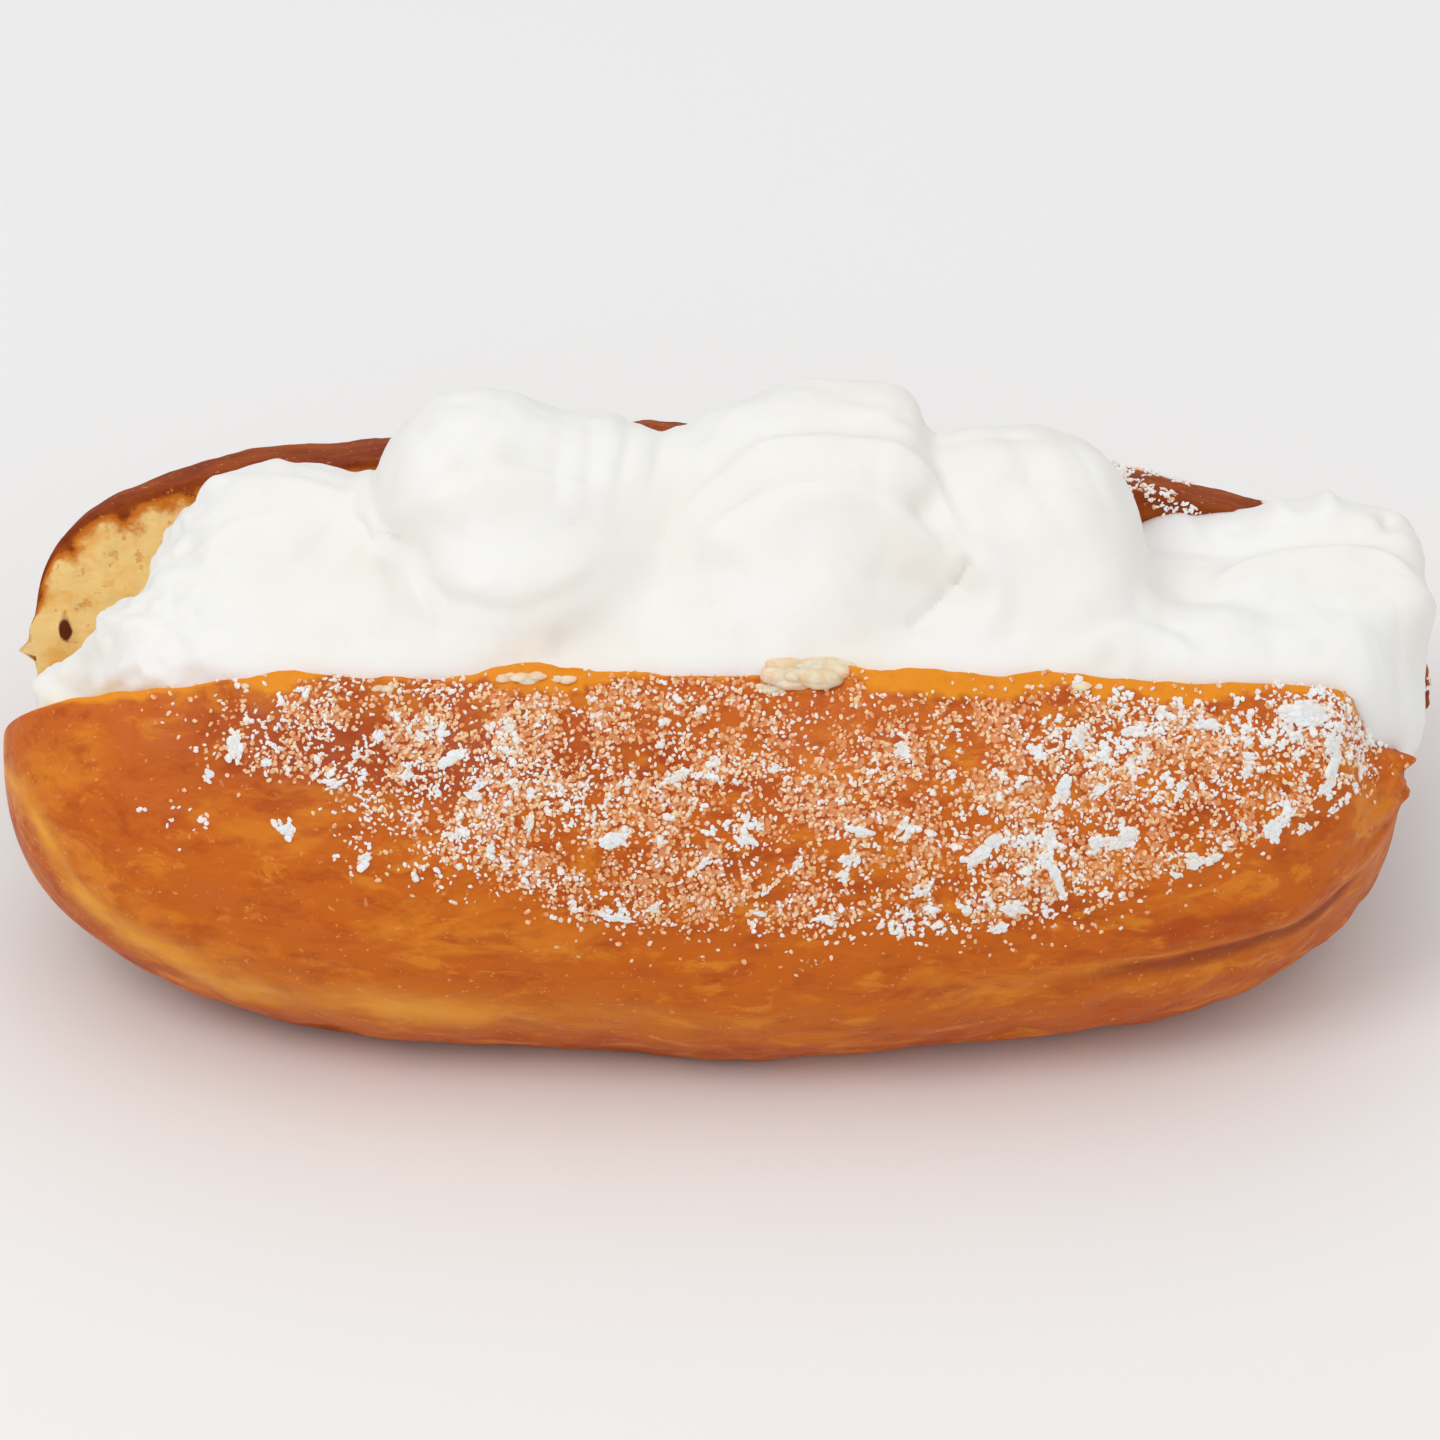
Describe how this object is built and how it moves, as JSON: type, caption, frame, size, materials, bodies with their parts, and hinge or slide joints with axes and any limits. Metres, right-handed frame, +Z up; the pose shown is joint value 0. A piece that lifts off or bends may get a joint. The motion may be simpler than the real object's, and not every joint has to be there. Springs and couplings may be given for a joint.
{
  "type": "cream-filled doughnut",
  "caption": "Long fried finger doughnut cut open along its top, filled with mounds of whipped cream and dusted with icing sugar.",
  "frame": {"origin": "middle of the flat underside that the doughnut stands on", "axes": "+X along the bun towards the end where the cream reaches the tip, +Y from the front half of the bun to the back half, +Z up"},
  "size_m": [0.1505, 0.0821, 0.0585],
  "materials": {
    "crust": "soft gloss of fried dough, golden brown, paler low on the left and darker underneath, dusted with white icing sugar; pale yellow crumb at the cut",
    "cream": "soft satin white of whipped cream"
  },
  "bodies": {
    "root": {"bun": "crust", "cream": "cream"}
  },
  "joints": []
}
